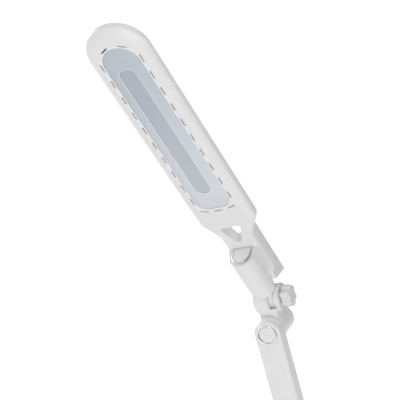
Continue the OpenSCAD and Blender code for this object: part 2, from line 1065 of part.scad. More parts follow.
// Places on the slot line: straight sides, round far end and the near end
module at_slots() {
    for (i = [0 : side_slots - 1], side = [-1, 1])
        translate([side * loop_half_w, first_slot_y - i * slot_pitch])
            children();
    for (turn = [-end_slot_turn, end_slot_turn])
        translate([0, light_far_y])
            rotate([0, 0, turn])
                translate([0, loop_half_w])
                    rotate([0, 0, 90])
                        children();
    for (side = [-1, 1])
        translate([side * near_slot_x, light_near_y + 0.2])
            rotate([0, 0, 90 + side * near_slot_turn])
                children();
    translate([0, light_near_y - near_slot_drop])
        rotate([0, 0, 90])
            children();
}

module slot_cuts() {
    translate([0, 0, face_z - head_wall - 1])
        linear_extrude(head_wall + 2)
            at_slots()
                stadium(slot_w / 2, -(slot_len - slot_w) / 2, (slot_len - slot_w) / 2);
}

// Outline of the window in the neck, grown by wide to the sides and by long to the ends
module window_outline(wide, long) {
    hull()
        for (side = [-1, 1]) {
            translate([side * (window_far_half_w - window_corner_r + wide),
                       window_far_y - window_corner_r + long / 2])
                circle(r = window_corner_r, $fn = 24);
            translate([side * (window_near_half_w - window_corner_r + wide),
                       window_near_y + window_corner_r - long])
                circle(r = window_corner_r, $fn = 24);
        }
}

module window_cut() {
    translate([0, 0, back_z - 1])
        linear_extrude(head_t + 2)
            window_outline(0, 0);
}

// The window opens out towards the back of the head
module window_flare_cut() {
    hull() {
        translate([0, 0, back_z + window_flare])
            linear_extrude(1)
                window_outline(-0.5, -0.5);
        translate([0, 0, back_z - 1])
            linear_extrude(thin)
                window_outline(window_flare * 0.7, window_flare);
    }
}

module at_head_screws() {
    for (side = [-1, 1], y = screw_ys)
        translate([side * screw_x, y, 0])
            children();
    translate([0, tail_screw_y, 0])
        children();
}

// Outline of the neck boss seen along the neck: a round front on walls that spread to the neck
module boss_outline() {
    circle(r = sleeve_r);
    polygon([[-sleeve_r, 0], [sleeve_r, 0], [neck_half_w, seam_z], [-neck_half_w, seam_z]]);
}

// Outline of the front half of the neck, with its two front edges rounded off
module plate_outline() {
    polygon([[-neck_half_w, seam_z], [neck_half_w, seam_z], [neck_half_w - 0.6, face_z - 3],
             [neck_half_w - 2.2, face_z - 0.8], [neck_half_w - 3.6, face_z],
             [3.6 - neck_half_w, face_z], [2.2 - neck_half_w, face_z - 0.8],
             [0.6 - neck_half_w, face_z - 3]]);
}

// Round above and flat below: the shape of the trimmed end of the neck
module d_outline(r, floor_z) {
    intersection() {
        union() {
            circle(r = r);
            translate([-r, floor_z])
                square([r * 2, -floor_z]);
        }
        translate([-r, floor_z])
            square([r * 2, r - floor_z]);
    }
}

// Pulls an outline in x and z along y from y0 to y1
module pull_y(y0, y1) {
    translate([0, y1, 0])
        rotate([90, 0, 0])
            linear_extrude(y1 - y0)
                children();
}

module head_front_shell() {
    color("white")
        at_head()
            difference() {
                union() {
                    difference() {
                        intersection() {
                            head_body();
                            slab(seam_z, 0);
                        }
                        intersection() {
                            head_cavity();
                            slab(seam_z - 5, face_z - head_wall);
                        }
                    }
                    pull_y(boss_near, neck_start + 8)
                        plate_outline();
                    pull_y(boss_near, sleeve_far)
                        boss_outline();
                    rod_y(sleeve_r, sleeve_near, sleeve_far);
                    intersection() {
                        at_head_screws()
                            translate([0, 0, seam_z])
                                cylinder(r = screw_boss_r, h = 6);
                        head_body();
                    }
                }
                translate([0, 0, face_z - head_wall - 1])
                    linear_extrude(head_wall + 2)
                        light_outline(light_half_w, light_near_y + loop_half_w - light_half_w,
                                      light_corner_r);
                translate([0, 0, face_z - head_wall - 9])
                    linear_extrude(head_wall + 9 - lip_t)
                        light_outline(pocket_half_w, light_near_y + loop_half_w - pocket_half_w,
                                      light_corner_r);
                slot_cuts();
                window_cut();
                rod_y(core_bore_r, 0, sleeve_far + 1);
                rod_y(roll_pocket_r, core_end, sleeve_far + 1);
                at_head_screws()
                    translate([0, 0, seam_z - 1])
                        cylinder(r = screw_r, h = 6);
            }
}

module head_back_shell() {
    color("white")
        at_head()
            difference() {
                union() {
                    difference() {
                        intersection() {
                            head_body();
                            slab(back_z - 5, seam_z);
                        }
                        intersection() {
                            head_cavity();
                            slab(back_z, seam_z + 5);
                        }
                    }
                    tail();
                    intersection() {
                        at_head_screws()
                            translate([0, 0, back_z + 1])
                                cylinder(r = screw_boss_r + 0.8, h = seam_z - back_z - 1);
                        head_body();
                    }
                    for (i = [0 : tray_ribs - 1])
                        translate([-tray_half_w + 2,
                                   led_board_near + i * (led_board_far - led_board_near) / (tray_ribs - 1),
                                   back_z + head_wall / 2])
                            cube([tray_half_w * 2 - 4, rib_t,
                                  tray_back - back_z - head_wall / 2 - tray_rib_gap]);
                }
                window_cut();
                window_flare_cut();
                at_head_screws() {
                    translate([0, 0, back_z - 1])
                        cylinder(r = screw_hole_r, h = head_t);
                    translate([0, 0, back_z - 1])
                        cylinder(r = screw_head_r + 0.2, h = screw_seat_z - back_z + 1);
                }
            }
}

// Tail of the back shell: a trough round the neck, with its end cut on a slant
module tail() {
    slant = atan2(tail_front_z - back_z, tail_front_y - tail_back_y);
    difference() {
        union() {
            pull_y(tail_back_y, neck_start + 8) {
                translate([-neck_half_w, back_z + tail_corner_r])
                    square([neck_half_w * 2, seam_z - back_z - tail_corner_r]);
                translate([-neck_half_w + tail_corner_r, back_z])
                    square([(neck_half_w - tail_corner_r) * 2, tail_corner_r + 1]);
                for (side = [-1, 1])
                    translate([side * (neck_half_w - tail_corner_r), back_z + tail_corner_r])
                        circle(r = tail_corner_r);
            }
            translate([-neck_half_w, tail_back_y, seam_z - thin])
                cube([neck_half_w * 2, boss_near - slip - tail_back_y, tail_front_z - seam_z]);
        }
        rod_y(sleeve_r + slip * 2, 0, boss_near);
        translate([0, tail_back_y, back_z])
            rotate([slant, 0, 0])
                translate([-neck_half_w - 1, -neck_half_w, 0])
                    cube([neck_half_w * 2 + 2, neck_half_w * 4, neck_half_w * 2]);
    }
}

// Light cover: a flat rim behind the face, and a raised middle with sloping sides and a flat top
module diffuser() {
    color("lightsteelblue")
        at_head()
            difference() {
                union() {
                    translate([0, 0, tray_front])
                        linear_extrude(light_depth)
                            light_outline(diffuser_half_w,
                                          light_near_y + loop_half_w - diffuser_half_w,
                                          light_corner_r);
                    diffuser_crown();
                }
                translate([0, 0, crown_top - panel_depth])
                    linear_extrude(panel_depth + 1)
                        stadium(panel_half_w + panel_gap, panel_near_y, panel_far_y);
            }
}

// Raised middle of the light cover, which stands out through the opening of the front shell
module diffuser_crown() {
    hull() {
        translate([0, 0, tray_front + 1])
            linear_extrude(face_z - edge_drop - tray_front - 1)
                crown_outline();
        translate([0, 0, crown_top - crown_edge])
            linear_extrude(crown_edge)
                stadium(panel_half_w + crown_rim, panel_near_y, panel_far_y, 32);
    }
}

module crown_outline() {
    near_y = light_near_y + loop_half_w - crown_half_w;
    translate([0, light_far_y])
        circle(r = crown_half_w, $fn = 48);
    for (side = [-1, 1])
        translate([side * (crown_half_w - light_corner_r), near_y + light_corner_r])
            circle(r = light_corner_r, $fn = 32);
}

module centre_panel() {
    color("lightblue")
        at_head()
            translate([0, 0, crown_top - panel_depth])
                linear_extrude(panel_t)
                    stadium(panel_half_w, panel_near_y, panel_far_y);
}

module reflector_tray() {
    color("snow")
        at_head()
            difference() {
                translate([0, 0, tray_back])
                    linear_extrude(tray_front - tray_back)
                        light_outline(tray_half_w, light_near_y + loop_half_w - tray_half_w,
                                      light_corner_r);
                translate([0, 0, tray_back + tray_wall])
                    linear_extrude(20)
                        light_outline(tray_half_w - tray_wall,
                                      light_near_y + loop_half_w - tray_half_w + tray_wall,
                                      light_corner_r - tray_wall);
            }
}

module led_board() {
    color("whitesmoke")
        at_head()
            translate([-led_board_half_w, led_board_near, tray_back + tray_wall])
                cube([led_board_half_w * 2, led_board_far - led_board_near, led_board_t]);
}

module leds() {
    length = led_board_far - led_board_near;
    count = floor(length / led_pitch);
    color("khaki")
        at_head()
            for (row = [0 : led_rows - 1], i = [0 : count - 1])
                translate([(row - (led_rows - 1) / 2) * led_row_gap - led_w / 2,
                           led_board_near + (i + 0.5) * length / count - led_w / 2,
                           tray_back + tray_wall + led_board_t])
                    cube([led_w, led_w, led_h]);
}

module head_screws() {
    color("silver")
        at_head()
            at_head_screws()
                translate([0, 0, screw_seat_z])
                    rotate([180, 0, 0])
                        small_screw(screw_r - slip, screw_seat_z * -1 + seam_z + 4, screw_head_r,
                                    screw_head_h, 0.6);
}

module neck_trim_ring() {
    color("silver")
        at_head()
            difference() {
                pull_y(sleeve_far, sleeve_far + trim_t)
                    d_outline(trim_r, face_z);
                pull_y(sleeve_far - 1, sleeve_far + trim_t + 1)
                    d_outline(trim_r - trim_w, face_z + trim_w);
            }
}

module neck_end_cap() {
    color("white")
        at_head()
            pull_y(sleeve_far, sleeve_far + end_cap_t)
                d_outline(trim_r - trim_w - slip, face_z + trim_w + slip);
}

base_shell();
base_weight();
base_plate();
foot_pad();
base_screws();
power_button();
control_board();
board_screws();
cable_gland();
post_housing();
swivel_washer();
swivel_nut();
lower_pivot_bolt();
lower_pivot_nut();
lower_friction_washer();
post_nut_cap();
arm_front_shell();
arm_back_shell();
arm_screws();
lower_bolt_washer();
upper_bolt_washer();
lower_ring();
lower_cap();
upper_ring();
upper_cap();
elbow_block();
upper_pivot_bolt();
upper_pivot_nut();
upper_friction_washer();
elbow_nut_cap();
tilt_bolt();
tilt_washers();
tilt_knob();
neck_knuckle();
roll_washer();
roll_screw();
head_front_shell();
head_back_shell();
diffuser();
centre_panel();
reflector_tray();
led_board();
leds();
head_screws();
neck_trim_ring();
neck_end_cap();
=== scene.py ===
"""Folding LED desk lamp: finish, fine form, studio and camera.

Metres throughout, in the lamp's own frame: +Z up, -Y to the front, the origin under the base.
The head is described in its own frame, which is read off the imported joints.
"""
import json
import math

import bmesh
import bpy
from mathutils import Matrix, Vector


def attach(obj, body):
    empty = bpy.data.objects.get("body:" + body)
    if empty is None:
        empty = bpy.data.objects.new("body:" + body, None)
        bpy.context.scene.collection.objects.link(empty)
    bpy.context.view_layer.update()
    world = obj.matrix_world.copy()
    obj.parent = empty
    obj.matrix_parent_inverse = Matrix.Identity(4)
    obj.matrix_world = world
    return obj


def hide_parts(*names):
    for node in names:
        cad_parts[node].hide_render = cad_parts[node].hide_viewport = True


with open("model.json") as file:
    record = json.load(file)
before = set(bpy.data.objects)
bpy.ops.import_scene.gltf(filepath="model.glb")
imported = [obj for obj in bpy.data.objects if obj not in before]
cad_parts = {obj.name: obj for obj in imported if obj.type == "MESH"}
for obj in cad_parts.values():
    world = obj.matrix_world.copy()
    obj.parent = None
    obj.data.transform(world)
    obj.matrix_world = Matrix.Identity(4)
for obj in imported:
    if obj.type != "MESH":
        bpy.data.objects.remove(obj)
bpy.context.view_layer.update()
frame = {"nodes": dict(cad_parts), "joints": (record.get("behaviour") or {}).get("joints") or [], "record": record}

MM = 0.001

# Camera, as fitted to the photograph
CAMERA_PLACE = (0.2205, -0.9509, 0.9299)
CAMERA_AZIMUTH = 22.62
CAMERA_ELEVATION = 21.09
PHOTO_SIZE = 400
FOCAL_PIXELS = 1112.5
SENSOR_WIDTH = 36.0


# Frame of the head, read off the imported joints

def joint(name):
    for entry in frame["joints"]:
        if entry["name"] == name:
            return entry
    raise KeyError(name)


def axes_frame(origin, across, along):
    """A frame from a point and two square directions; the third points to the light side."""
    x = Vector(across).normalized()
    y = Vector(along).normalized()
    z = x.cross(y)
    turn = Matrix((x, y, z)).transposed().to_4x4()
    return Matrix.Translation(Vector(origin)) @ turn


TILT = joint("head_tilt")
ROLL = joint("head_roll")
HEAD_FRAME = axes_frame(ROLL["pos_m"], TILT["axis"], ROLL["axis"])


# Materials

def add_node(tree, kind, place, **settings):
    """Adds a shader node; settings name its properties, and inputs is a dict of its sockets."""
    inputs = settings.pop("inputs", {})
    new = tree.nodes.new(kind)
    new.location = place
    for key, value in settings.items():
        setattr(new, key, value)
    for key, value in inputs.items():
        new.inputs[key].default_value = value
    return new


def new_group(name, sockets_in, sockets_out):
    """A shader node group with named sockets: each is (name, type, default)."""
    group = bpy.data.node_groups.new(name, "ShaderNodeTree")
    for socket_name, kind, default in sockets_in:
        socket = group.interface.new_socket(socket_name, in_out="INPUT", socket_type=kind)
        if default is not None:
            socket.default_value = default
    for socket_name, kind in sockets_out:
        group.interface.new_socket(socket_name, in_out="OUTPUT", socket_type=kind)
    inlet = group.nodes.new("NodeGroupInput")
    inlet.location = (-900, 0)
    outlet = group.nodes.new("NodeGroupOutput")
    outlet.location = (700, 0)
    return group, inlet, outlet


def moulded_grain_group():
    """Fine spark-eroded grain and slow sheen changes of a moulded part."""
    group, inlet, outlet = new_group(
        "moulded_grain",
        [("Grain Size", "NodeSocketFloat", 2500.0), ("Sheen Spread", "NodeSocketFloat", 0.06),
         ("Base Sheen", "NodeSocketFloat", 0.4), ("Tint Spread", "NodeSocketFloat", 0.02)],
        [("Height", "NodeSocketFloat"), ("Roughness", "NodeSocketFloat"), ("Tint", "NodeSocketFloat")],
    )
    tree = group
    place = add_node(tree, "ShaderNodeTexCoord", (-900, 300))
    fine = add_node(tree, "ShaderNodeTexNoise", (-600, 300), inputs={"Detail": 3.0, "Roughness": 0.6})
    slow = add_node(tree, "ShaderNodeTexNoise", (-600, 0), inputs={"Scale": 18.0, "Detail": 2.0})
    centred = add_node(tree, "ShaderNodeMath", (-350, 0), operation="SUBTRACT", inputs={1: 0.5})
    sheen = add_node(tree, "ShaderNodeMath", (-100, 50), operation="MULTIPLY_ADD")
    tint = add_node(tree, "ShaderNodeMath", (-100, -150), operation="MULTIPLY_ADD", inputs={2: 1.0})
    link = tree.links.new
    link(place.outputs["Object"], fine.inputs["Vector"])
    link(place.outputs["Object"], slow.inputs["Vector"])
    link(inlet.outputs["Grain Size"], fine.inputs["Scale"])
    link(slow.outputs["Fac"], centred.inputs[0])
    link(centred.outputs[0], sheen.inputs[0])
    link(inlet.outputs["Sheen Spread"], sheen.inputs[1])
    link(inlet.outputs["Base Sheen"], sheen.inputs[2])
    link(centred.outputs[0], tint.inputs[0])
    link(inlet.outputs["Tint Spread"], tint.inputs[1])
    link(fine.outputs["Fac"], outlet.inputs["Height"])
    link(sheen.outputs[0], outlet.inputs["Roughness"])
    link(tint.outputs[0], outlet.inputs["Tint"])
    return group


GRAIN = moulded_grain_group()


def new_material(name, display):
    material = bpy.data.materials.new(name)
    material.use_nodes = True
    material.diffuse_color = (*display, 1.0)
    tree = material.node_tree
    shader = tree.nodes["Principled BSDF"]
    return material, tree, shader


def grained(name, colour, sheen=0.4, spread=0.06, grain=2500.0, bump=0.02, tint=0.02, metal=0.0,
            coat=0.0):
    """A material with the moulded grain: its colour, gloss and bump all vary a little."""
    material, tree, shader = new_material(name, colour)
    effect = add_node(tree, "ShaderNodeGroup", (-700, 0), node_tree=GRAIN)
    effect.inputs["Grain Size"].default_value = grain
    effect.inputs["Sheen Spread"].default_value = spread
    effect.inputs["Base Sheen"].default_value = sheen
    effect.inputs["Tint Spread"].default_value = tint
    paint = add_node(tree, "ShaderNodeMix", (-350, 150), data_type="RGBA", blend_type="MULTIPLY")
    paint.inputs["Factor"].default_value = 1.0
    paint.inputs[6].default_value = (*colour, 1.0)
    bumps = add_node(tree, "ShaderNodeBump", (-350, -200),
                     inputs={"Strength": bump, "Distance": 0.0001})
    link = tree.links.new
    link(effect.outputs["Tint"], paint.inputs[7])
    link(paint.outputs[2], shader.inputs["Base Color"])
    link(effect.outputs["Roughness"], shader.inputs["Roughness"])
    link(effect.outputs["Height"], bumps.inputs["Height"])
    link(bumps.outputs["Normal"], shader.inputs["Normal"])
    shader.inputs["Metallic"].default_value = metal
    shader.inputs["Coat Weight"].default_value = coat
    return material


WHITE = grained("satin_white_plastic", (0.835, 0.835, 0.838), sheen=0.34, bump=0.05)
KNOB_WHITE = grained("knob_white_plastic", (0.80, 0.80, 0.805), sheen=0.42, bump=0.08)
CHROME = grained("bright_chrome", (0.62, 0.63, 0.65), sheen=0.09, spread=0.03, bump=0.0, metal=1.0)
ZINC = grained("zinc_plate", (0.62, 0.63, 0.62), sheen=0.34, spread=0.15, tint=0.2, metal=1.0)
STEEL = grained("dark_steel", (0.25, 0.26, 0.27), sheen=0.5, spread=0.2, tint=0.3, metal=1.0)
PLATE = grained("grey_painted_plate", (0.35, 0.36, 0.37), sheen=0.5, bump=0.2, grain=1200.0)
RUBBER = grained("grey_rubber", (0.16, 0.16, 0.17), sheen=0.75, bump=0.3, grain=900.0)
GLAND = grained("pale_rubber", (0.55, 0.56, 0.57), sheen=0.65, bump=0.2, grain=900.0)
ACETAL = grained("grey_acetal", (0.3, 0.31, 0.32), sheen=0.5)
BOARD = grained("green_solder_mask", (0.03, 0.16, 0.07), sheen=0.3, tint=0.2)
# The bead's colour, whiter than the shell it is moulded on, is painted highlight
BEAD_PAINTED_HIGHLIGHT = grained("bead_white_painted_highlight", (0.93, 0.93, 0.93), sheen=0.2, bump=0.0)
REFLECTOR = grained("white_reflector", (0.85, 0.85, 0.85), sheen=0.6)
LED_BOARD = grained("white_board", (0.8, 0.8, 0.8), sheen=0.4)
PHOSPHOR = grained("yellow_phosphor", (0.8, 0.6, 0.12), sheen=0.3)


def milky_painted_shade_group():
    """Milky light cover with painted shade: its colour is darker at the far end and pales to the neck, over a fine
    prismatic grain.
    """
    group, inlet, outlet = new_group(
        "milky_cover_painted_shade",
        [("Far Colour", "NodeSocketColor", (0.5, 0.57, 0.63, 1.0)),
         ("Near Colour", "NodeSocketColor", (0.66, 0.7, 0.74, 1.0)),
         ("Line Pitch", "NodeSocketFloat", 1800.0)],
        [("Colour", "NodeSocketColor"), ("Height", "NodeSocketFloat")],
    )
    place = add_node(group, "ShaderNodeTexCoord", (-900, 300))
    along = add_node(group, "ShaderNodeVectorMath", (-650, 300), operation="DOT_PRODUCT",
                     inputs={1: tuple(HEAD_ALONG)})
    share = add_node(group, "ShaderNodeMapRange", (-400, 300), interpolation_type="SMOOTHSTEP",
                     inputs={"From Min": LIGHT_NEAR, "From Max": LIGHT_FAR})
    blend = add_node(group, "ShaderNodeMix", (-100, 250), data_type="RGBA")
    across = add_node(group, "ShaderNodeVectorMath", (-650, 0), operation="DOT_PRODUCT",
                      inputs={1: tuple(HEAD_ACROSS)})
    rows = add_node(group, "ShaderNodeMath", (-400, 0), operation="MULTIPLY")
    ribs = add_node(group, "ShaderNodeMath", (-150, 0), operation="SINE")
    link = group.links.new
    link(place.outputs["Object"], along.inputs[0])
    link(place.outputs["Object"], across.inputs[0])
    link(along.outputs["Value"], share.inputs["Value"])
    link(share.outputs["Result"], blend.inputs["Factor"])
    link(inlet.outputs["Near Colour"], blend.inputs[6])
    link(inlet.outputs["Far Colour"], blend.inputs[7])
    link(across.outputs["Value"], rows.inputs[0])
    link(inlet.outputs["Line Pitch"], rows.inputs[1])
    link(rows.outputs[0], ribs.inputs[0])
    link(blend.outputs[2], outlet.inputs["Colour"])
    link(ribs.outputs[0], outlet.inputs["Height"])
    return group


HEAD_ACROSS = HEAD_FRAME.to_3x3().col[0].copy()
HEAD_ALONG = HEAD_FRAME.to_3x3().col[1].copy()
# Painted shade on the light cover: darkest at DEEPEST_Y and palest at PALEST_Y along the head
PALEST_Y = 135.0
DEEPEST_Y = 325.0
LIGHT_NEAR = HEAD_ALONG.dot(HEAD_FRAME @ Vector((0.0, PALEST_Y * MM, 0.0)))
LIGHT_FAR = HEAD_ALONG.dot(HEAD_FRAME @ Vector((0.0, DEEPEST_Y * MM, 0.0)))
MILKY_PAINTED_SHADE = milky_painted_shade_group()


def milky(name, far, near, sheen, bump):
    """The finish of the light cover and its centre panel, with painted shade that darkens it towards the far end.
    """
    material, tree, shader = new_material(name, far)
    effect = add_node(tree, "ShaderNodeGroup", (-700, 200), node_tree=MILKY_PAINTED_SHADE)
    effect.inputs["Far Colour"].default_value = (*far, 1.0)
    effect.inputs["Near Colour"].default_value = (*near, 1.0)
    grain = add_node(tree, "ShaderNodeGroup", (-700, -100), node_tree=GRAIN)
    grain.inputs["Base Sheen"].default_value = sheen
    ridges = add_node(tree, "ShaderNodeBump", (-350, -200), inputs={"Strength": bump, "Distance": 0.0001})
    link = tree.links.new
    link(effect.outputs["Colour"], shader.inputs["Base Color"])
    link(effect.outputs["Height"], ridges.inputs["Height"])
    link(ridges.outputs["Normal"], shader.inputs["Normal"])
    link(grain.outputs["Roughness"], shader.inputs["Roughness"])
    return material


# Each far colour is darker than its near colour: painted shade towards the head's far end
DIFFUSER = milky("milky_diffuser", (0.52, 0.585, 0.64), (0.70, 0.735, 0.79), 0.38, 0.15)
PANEL = milky("milky_panel", (0.44, 0.48, 0.55), (0.52, 0.57, 0.625), 0.3, 0.25)
# The rim round the centre panel is coloured much paler than the cover: painted highlight
RIM_PAINTED_HIGHLIGHT = milky("rim_painted_highlight", (0.80, 0.83, 0.86), (0.86, 0.88, 0.90), 0.15, 0.0)

SLOT_MATERIALS = {
    "white_shell": WHITE,
    "white_knob": KNOB_WHITE,
    "steel_weight": STEEL,
    "plate_steel": PLATE,
    "rubber_pad": RUBBER,
    "zinc": ZINC,
    "chrome_trim": CHROME,
    "washer_plastic": ACETAL,
    "circuit_board": BOARD,
    "led_strip": LED_BOARD,
    "led_package": PHOSPHOR,
    "light_diffuser": DIFFUSER,
    "light_panel": PANEL,
    "gland_rubber": GLAND,
    "reflector": REFLECTOR,
}


SLOT_OF_NODE = {entry["node"]: entry["material_slot"] for entry in frame["record"]["subparts"]}


def dress_nodes():
    """Gives every solid the finish of its material slot."""
    for node, slot in SLOT_OF_NODE.items():
        piece = frame["nodes"][node]
        piece.data.materials.clear()
        piece.data.materials.append(SLOT_MATERIALS[slot])


# Softened mouldings: each visible solid with its sharp edges rounded as a mould leaves them

SAME_PLACE = 2e-6
FLAT_ANGLE = math.radians(0.4)
SHARP_ANGLE = math.radians(28)
SMOOTH_ANGLE = math.radians(24)
HEAD_CREASE = math.radians(20)

WIDE_ROUND_FROM = 0.65
SLOT_NEARNESS = 0.6

# Feet of the ribs inside the head's back shell, in millimetres in the head's frame
FACES_BACK = 0.95
RIB_LEVEL = 0.02
RIB_PROUD = 1.5
RIB_HALF_W = 17.5
RIBS_FROM_Y = 150.0

# Edge radius in millimetres of each solid that shows, by its body
SOFT_EDGES = {
    "head": {"head_front_shell": 0.35, "head_back_shell": 0.5, "diffuser": 0.12, "centre_panel": 0.12,
             "neck_trim_ring": 0.75, "neck_end_cap": 0.25},
    "neck": {"neck_knuckle": 0.4},
    "elbow": {"elbow_block": 0.6, "elbow_nut_cap": 0.4, "tilt_bolt": 0.3, "tilt_washers": 0.08},
    "knob": {"tilt_knob": 0.7},
    "arm": {"arm_front_shell": 0.3, "arm_back_shell": 0.3, "lower_ring": 0.7, "lower_cap": 0.2,
            "upper_ring": 0.7, "upper_cap": 0.2, "arm_screws": 0.12},
    "post": {"post_housing": 0.8, "post_nut_cap": 0.4},
    "base": {"base_shell": 0.5, "base_plate": 0.3, "foot_pad": 0.4, "base_screws": 0.12,
             "cable_gland": 0.5},
    "button": {"power_button": 0.4},
}


def make_whole(shape):
    """Joins points in the same place and triangles of the same flat face."""
    bmesh.ops.remove_doubles(shape, verts=shape.verts, dist=SAME_PLACE)
    bmesh.ops.dissolve_limit(shape, angle_limit=FLAT_ANGLE, use_dissolve_boundaries=False,
                             verts=shape.verts, edges=shape.edges)


def merged_copy(node):
    """A closed mesh of one solid, with its flat faces whole again."""
    shape = bmesh.new()
    shape.from_mesh(frame["nodes"][node].data)
    make_whole(shape)
    return shape


def is_sharp(edge):
    return len(edge.link_faces) == 2 and edge.calc_face_angle(0.0) > SHARP_ANGLE


def round_edges(shape, edges, radius):
    bmesh.ops.bevel(shape, geom=edges, offset=radius * MM, offset_type="OFFSET",
                    segments=2 if radius < WIDE_ROUND_FROM else 5, profile=0.5, affect="EDGES",
                    clamp_overlap=True, material=-1)


def finish_mesh(shape, name, material, body, crease=SMOOTH_ANGLE):
    """Turns a shape into a smooth shaded piece that moves with a body."""
    mesh = bpy.data.meshes.new(name)
    shape.to_mesh(mesh)
    shape.free()
    mesh.shade_smooth()
    mesh.set_sharp_from_angle(angle=crease)
    mesh.materials.append(material)
    piece = bpy.data.objects.new(name, mesh)
    bpy.context.scene.collection.objects.link(piece)
    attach(piece, body)
    return piece


def by_a_slot(edge):
    """True for an edge of one of the slots round the light, which stay crisp."""
    middle = HEAD_BACK @ ((edge.verts[0].co + edge.verts[1].co) / 2)
    spot = middle.xy / MM
    near = any((spot - place).length < SLOT_LEN * SLOT_NEARNESS for place, turn in slot_places())
    return near and slot_distance(spot) < SLOT_W


def flush_back(shape):
    """Brings the feet of the inner ribs level with the flat back of the head."""
    backward = -HEAD_FRAME.to_3x3().col[2]
    backs = [face for face in shape.faces if face.normal.dot(backward) > FACES_BACK]
    flat = max(backs, key=lambda face: face.calc_area())
    normal = flat.normal.copy()
    start = flat.verts[0].co.copy()
    for vert in shape.verts:
        proud = (vert.co - start).dot(normal) / MM
        place = (HEAD_BACK @ vert.co) / MM
        if RIB_LEVEL < proud < RIB_PROUD and abs(place.x) < RIB_HALF_W and place.y > RIBS_FROM_Y:
            vert.co -= backward * (proud * MM / normal.dot(backward))
    make_whole(shape)


def softened(node, body, radius):
    """Stands for a solid with its sharp edges rounded."""
    shape = merged_copy(node)
    if node == "head_back_shell":
        flush_back(shape)
    sharp = [edge for edge in shape.edges if is_sharp(edge)]
    if node == "head_front_shell":
        sharp = [edge for edge in sharp if not by_a_slot(edge)]
    round_edges(shape, sharp, radius)
    slot = SLOT_OF_NODE[node]
    crease = HEAD_CREASE if node.startswith("head_") else SMOOTH_ANGLE
    piece = finish_mesh(shape, node + "_finished", SLOT_MATERIALS[slot], body, crease)
    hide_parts(node)


# The line of slots round the light, in millimetres in the head's frame

HEAD_BACK = HEAD_FRAME.inverted()
FACE_Z = -10.0
LOOP_HALF_W = 20.1
LIGHT_FAR_Y = 316.1
LIGHT_NEAR_Y = 127.0
LOOP_CORNER = 13.6
FIRST_SLOT_Y = LIGHT_FAR_Y + 1.5
SLOT_PITCH = 19.38
SLOT_LEN = 9.0
SLOT_W = 1.4
SIDE_SLOTS = 10
END_SLOT_TURN = 26.5
NEAR_SLOT = (14.4, 0.2, 18.0)
NEAR_SLOT_DROP = 1.6
PANEL_HALF_W = 7.8
PANEL_NEAR_Y = 160.8
PANEL_FAR_Y = LIGHT_FAR_Y - 12.1
CROWN_TOP_Z = FACE_Z + 2.2
BEAD_W = 0.8
BEAD_RISE = 0.3
BEAD_SINK = 0.15
BEAD_CLEARANCE = 0.25
PANEL_BEAD_GAP = 0.3
PANEL_BEAD_W = 0.7
PANEL_BEAD_RISE = 0.2
SAME_POINT = 0.001


def slot_places():
    """The middle of each slot, and the direction of its length in degrees from the head's length."""
    places = []
    for side in (-1, 1):
        for i in range(SIDE_SLOTS):
            places.append((Vector((side * LOOP_HALF_W, FIRST_SLOT_Y - i * SLOT_PITCH)), 0.0))
        turn = math.radians(side * END_SLOT_TURN)
        places.append((Vector((-math.sin(turn) * LOOP_HALF_W,
                               LIGHT_FAR_Y + math.cos(turn) * LOOP_HALF_W)), 90 + side * END_SLOT_TURN))
        places.append((Vector((side * NEAR_SLOT[0], LIGHT_NEAR_Y + NEAR_SLOT[1])),
                       90 + side * NEAR_SLOT[2]))
    places.append((Vector((0.0, LIGHT_NEAR_Y - NEAR_SLOT_DROP)), 90.0))
    return places


def slot_distance(point):
    """Distance in millimetres from a point on the face to the middle line of the nearest slot."""
    best = 1000.0
    for place, turn in slot_places():
        angle = math.radians(turn)
        along = Vector((-math.sin(angle), math.cos(angle)))
        reach = (SLOT_LEN - SLOT_W) / 2
        offset = point - place
        near = max(-reach, min(reach, offset.dot(along)))
        best = min(best, (offset - along * near).length)
    return best


def spun(shape, vert, centre, degrees, steps):
    """Spins one vertex about a centre and gives the last vertex of the arc."""
    out = bmesh.ops.spin(shape, geom=[vert], cent=centre, axis=(0, 0, 1), dvec=(0, 0, 0),
                         angle=math.radians(degrees), steps=steps, use_merge=False)
    return [item for item in out["geom_last"] if isinstance(item, bmesh.types.BMVert)][0]


def drawn(shape, vert, to, steps):
    """Draws a straight line of edges from one vertex to a point and gives the last vertex."""
    start = vert.co.copy()
    for i in range(1, steps + 1):
        out = bmesh.ops.extrude_vert_indiv(shape, verts=[vert])
        vert = out["verts"][0]
        vert.co = start.lerp(Vector(to), i / steps)
    return vert


def loop_outline(half_w, corner):
    """A flat outline that runs round the light: round at the far end and squarer at the neck."""
    shape = bmesh.new()
    near_y = LIGHT_NEAR_Y - NEAR_SLOT_DROP
    first = bmesh.ops.create_vert(shape, co=(half_w, LIGHT_FAR_Y, 0))["vert"][0]
    vert = spun(shape, first, (0, LIGHT_FAR_Y, 0), 180, 64)
    vert = drawn(shape, vert, (-half_w, near_y + corner, 0), 250)
    vert = spun(shape, vert, (corner - half_w, near_y + corner, 0), 90, 30)
    vert = drawn(shape, vert, (half_w - corner, near_y, 0), 20)
    vert = spun(shape, vert, (half_w - corner, near_y + corner, 0), 90, 30)
    drawn(shape, vert, (half_w, LIGHT_FAR_Y, 0), 250)
    bmesh.ops.remove_doubles(shape, verts=shape.verts, dist=SAME_POINT)
    return shape


def outward(point, core):
    """The sideways direction away from the middle of an outline, at one of its points."""
    half_w, near, far = core
    if point.y > far:
        held = Vector((0.0, far, 0.0))
    else:
        held = Vector((max(-half_w, min(half_w, point.x)), max(near, point.y), 0.0))
    return (point - held).normalized()


